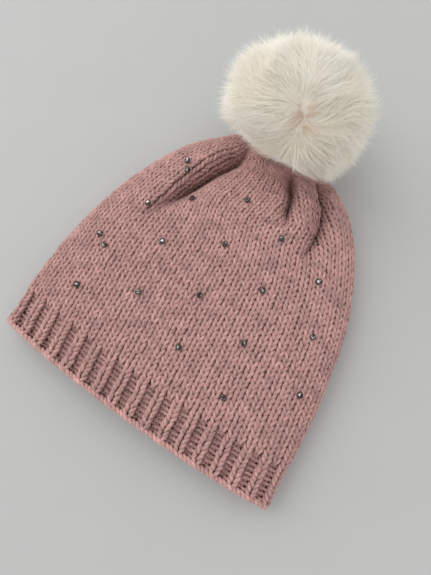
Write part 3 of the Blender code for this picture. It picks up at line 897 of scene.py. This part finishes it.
def underfur():
    """The short dense wool under the long hair: a ball with a flat base and a well for the felt disc."""
    crown, across, up, axis = pom_frame()
    base = FUR_BASE + WOOL_GAP
    drop = POM_CENTRE - base
    outer = [(UNDERFUR_RADIUS * math.sin(a), POM_CENTRE + UNDERFUR_RADIUS * math.cos(a))
             for a in np.linspace(0.0, math.acos(-drop / UNDERFUR_RADIUS), WOOL_RINGS)]
    well = [(DISC_WELL, base), (DISC_WELL, POM_CENTRE - math.sqrt(HIDE_ROOM ** 2 - DISC_WELL ** 2))]
    inner = [(HIDE_ROOM * math.sin(a), POM_CENTRE + HIDE_ROOM * math.cos(a))
             for a in np.linspace(math.pi - math.asin(DISC_WELL / HIDE_ROOM), 0.0, HIDE_RINGS)[1:]]
    verts, faces = [], []
    profile = outer + well + inner
    turn = np.arange(WOOL_STEPS) * 2 * math.pi / WOOL_STEPS
    round_it = np.cos(turn)[:, None] * across + np.sin(turn)[:, None] * up
    for r, h in profile:
        if r < 1e-9:
            verts.append((crown + axis * h)[None])
        else:
            verts.append(crown + axis * h + r * round_it)
    starts = np.cumsum([0] + [len(v) for v in verts])
    for k in range(len(profile) - 1):
        a, b = starts[k], starts[k + 1]
        for s in range(WOOL_STEPS):
            n = (s + 1) % WOOL_STEPS
            if len(verts[k]) == 1:
                faces.append((a, b + s, b + n))
            elif len(verts[k + 1]) == 1:
                faces.append((a + s, b, a + n))
            else:
                faces.append((a + s, b + s, b + n, a + n))
    points = np.vstack(verts)
    out = unit(points - crown - axis * POM_CENTRE)
    shown = np.arange(len(points)) < starts[len(outer) - 2]
    angle = from_parting(out)[0]
    tuft = np.array([noise.noise(Vector(o) * TUFT_SCALE) for o in out]) * TUFT_HEIGHT
    dimple = PARTING_DIMPLE * np.exp(-((angle / DIMPLE_WIDTH) ** 2))
    swell = (pom_form(out) - 1) * UNDERFUR_RADIUS + tuft - dimple
    points = points + (shown * swell)[:, None] * out
    points[:, 2] = np.maximum(points[:, 2], WOOL_LOW)
    look = tinted_finish("fur_wool", 0.9, 500.0, 0.12, sheen=0.3, glow=1.0)
    piece = new_mesh("underfur", points, faces, look)
    set_tint(piece, fur_colours(out, np.full(len(out), WOOL_SHARE), np.zeros(len(out))))
    return put(piece, "pom", "fur", "pom_fur")


def hair_lines():
    """Root, bend and tip of every hair: combed away from the parting in swirls and clumps, with
    longer wisps and two drapes."""
    crown, _, _, axis = pom_frame()
    centre = crown + axis * POM_CENTRE
    out = spread_round(HAIRS, HAIR_JITTER)
    out = out[(out @ axis) * HAIR_ROOT > FUR_BASE + BASE_ROOM - POM_CENTRE]
    n = len(out)
    angle, away = from_parting(out)
    turn = HAIR_SWIRL * np.array([noise.noise(Vector(o) * SWIRL_SCALE) for o in out])[:, None]
    away = away * np.cos(turn) + np.cross(out, away) * np.sin(turn)
    lay = LAY_MOST - LAY_DROP * ease(*LAY_ANGLES, angle)
    lay = np.minimum(lay + rng.normal(0, LAY_SPREAD, n), LAY_LIMIT)
    lift = np.sqrt(1 - lay ** 2)
    way = unit(out * lift[:, None] + away * lay[:, None] + rng.normal(0, WAY_SPREAD, (n, 3)))
    rise = (out * way).sum(-1)
    reach = HAIR_REACH + rng.normal(0, HAIR_REACH_SPREAD, n)
    reach = reach + WISP_REACH * rng.uniform(0, 1, n) * (rng.uniform(0, 1, n) < WISP_SHARE)
    form = pom_form(out)
    root = HAIR_ROOT * form - PARTING_DIMPLE * np.exp(-((angle / DIMPLE_WIDTH) ** 2))
    beyond = np.maximum((root * rise) ** 2 + (reach * form) ** 2 - root ** 2, 0.0)
    length = -root * rise + np.sqrt(beyond)
    roots = centre + out * root[:, None]
    ends = unit(roots + way * length[:, None] - centre)
    drape = sum(more * ease(*DRAPE_EDGES, ends @ unit(np.array(side))) for side, more in DRAPES)
    tips = centre + ends * (reach * pom_form(ends) + drape)[:, None]
    clumps = spread_round(CLUMPS, CLUMP_JITTER)
    finder = kdtree.KDTree(CLUMPS)
    for k, place in enumerate(clumps):
        finder.insert(place, k)
    finder.balance()
    member = np.array([finder.find(o)[1] for o in out])
    share = np.bincount(member, minlength=CLUMPS)
    middle = np.stack([np.bincount(member, tips[:, i], CLUMPS) for i in range(3)], -1)
    middle /= np.maximum(share, 1)[:, None]
    pull = CLUMP_PULL * rng.uniform(CLUMP_LEAST, 1.0, n)
    tips = tips + (middle[member] - tips) * pull[:, None]
    bends = roots + (out * BEND_OUT + way * (1 - BEND_OUT)) * (BEND_PLACE * length)[:, None]
    bends = bends + rng.normal(0, BEND_SPREAD, (n, 3))
    return out, above_base(roots), above_base(bends), above_base(tips)


def fur():
    piece = underfur()
    out, roots, bends, tips = hair_lines()
    look = tinted_finish("cream_hair", 0.75, 700.0, 0.06, sheen=0.3)
    for k, some in enumerate(np.array_split(np.arange(len(out)), HAIR_PIECES)):
        radius = HAIR_RADIUS * rng.uniform(*HAIR_WIDTHS, len(some))
        corners, faces, share = strands(roots[some], bends[some], tips[some], out[some],
                                        radius, HAIR_SEGMENTS)
        per = len(share) // len(some)
        tone = np.repeat(rng.normal(0, HAIR_TONE_SPREAD, len(some)), per)
        hair = new_mesh(f"fur_hairs_{k + 1}", corners, faces.tolist(), look)
        set_tint(hair, fur_colours(np.repeat(out[some], per, axis=0), share, tone))
        hair.data.shade_flat()
        put(hair, "pom", "fur", "pom_fur")


# Pieces inside, and the hard pieces.
def softened(node, name, look, body, slot, dent, scale, cuts=2):
    """A soft piece in the form of its solid, with eased edges and an uneven surface."""
    made = bmesh.new()
    made.from_mesh(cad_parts[node].data)
    bmesh.ops.remove_doubles(made, verts=made.verts, dist=1e-6)
    bmesh.ops.subdivide_edges(made, edges=made.edges, cuts=cuts, use_grid_fill=True)
    made.normal_update()
    for vert in made.verts:
        vert.co -= vert.normal * dent * (0.5 + 0.5 * noise.noise(vert.co * scale))
    mesh = bpy.data.meshes.new(name)
    made.to_mesh(mesh)
    made.free()
    return put(show(name, mesh, look), body, slot, node)


def inside_pieces():
    felt = plain_finish("cream_felt", (0.55, 0.50, 0.44), 0.95, scale=1500.0, spread=0.2, bump=0.0003)
    hide = plain_finish("suede", (0.55, 0.40, 0.31), 0.9, scale=900.0, spread=0.15, bump=0.0002)
    wool = plain_finish("fibre_stuffing", (0.80, 0.80, 0.78), 0.95, scale=700.0, spread=0.1, bump=0.0004)
    thread = plain_finish("sewing_thread", (0.40, 0.20, 0.19), 0.8, scale=3000.0, spread=0.3, bump=0.0002)
    softened("pom_base_disc", "felt_disc", felt, "pom", "felt", 0.00012, 900.0)
    softened("pom_hide", "suede_ball", hide, "pom", "hide", 0.0002, 300.0)
    ball = softened("pom_stuffing", "stuffing_ball", wool, "pom", "stuffing", 0.0006, 250.0)
    softened("pom_draw_thread", "draw_thread", thread, "pom", "thread", 0.00008, 2500.0)
    softened("thread_shank", "shank_thread", thread, "socket", "thread", 0.0001, 2500.0)


def hard_pieces():
    steel = plain_finish("snap_steel", (0.50, 0.50, 0.51), 0.32, 1.0, scale=1200.0, spread=0.08, bump=0.00002)
    plastic = plain_finish("button_plastic", (0.42, 0.24, 0.23), 0.4, scale=200.0, spread=0.06)
    cup = plain_finish("dark_cup", (0.085, 0.078, 0.072), 0.34, 1.0, scale=1500.0, spread=0.15, bump=0.00003)
    crystal = crystal_glint_finish()
    for name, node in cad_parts.items():
        look = None
        if name.startswith("stone_cup"):
            look = cup
        elif name.startswith("stone_crystal"):
            look = crystal
        elif name.startswith("snap_"):
            look = steel
        elif name == "backing_button":
            look = plastic
        if look:
            for place in node.material_slots:
                place.material = look


# The stage.
def floor():
    bpy.ops.mesh.primitive_plane_add(size=FLOOR_SIZE, location=(0, 0, -FLOOR_DROP))
    piece = bpy.context.object
    piece.name = "floor"
    piece.data.materials.append(plain_finish("pale_floor", FLOOR_COLOUR, 0.6, scale=20.0, spread=0.01))


def camera():
    lens = bpy.data.cameras.new("camera")
    lens.sensor_width = SENSOR
    lens.lens = FOCAL_PIXELS / max(PHOTO_WIDTH, PHOTO_HEIGHT) * SENSOR
    lens.clip_start = CLIP_START
    seat = bpy.data.objects.new("camera", lens)
    seat.location = CAMERA_PLACE
    seat.rotation_euler = (CAMERA_TILT, 0, CAMERA_TURN)
    bpy.context.scene.collection.objects.link(seat)
    bpy.context.scene.camera = seat


def light(name, place, size, power):
    lamp = bpy.data.lights.new(name, "AREA")
    lamp.size = size
    lamp.energy = power
    seat = bpy.data.objects.new(name, lamp)
    seat.location = place
    seat.rotation_euler = (-Vector(place)).to_track_quat("-Z", "Y").to_euler()
    bpy.context.scene.collection.objects.link(seat)


def lights():
    world = bpy.data.worlds.new("studio")
    world.use_nodes = True
    world.node_tree.nodes["Background"].inputs[0].default_value = (1, 1, 1, 1)
    world.node_tree.nodes["Background"].inputs[1].default_value = WORLD_LEVEL
    bpy.context.scene.world = world
    light("window", WINDOW_PLACE, WINDOW_SIZE, WINDOW_POWER)


def main():
    bpy.context.scene.view_settings.view_transform = "Standard"
    camera()
    lights()
    floor()
    knitting()
    fur()
    inside_pieces()
    hard_pieces()


main()
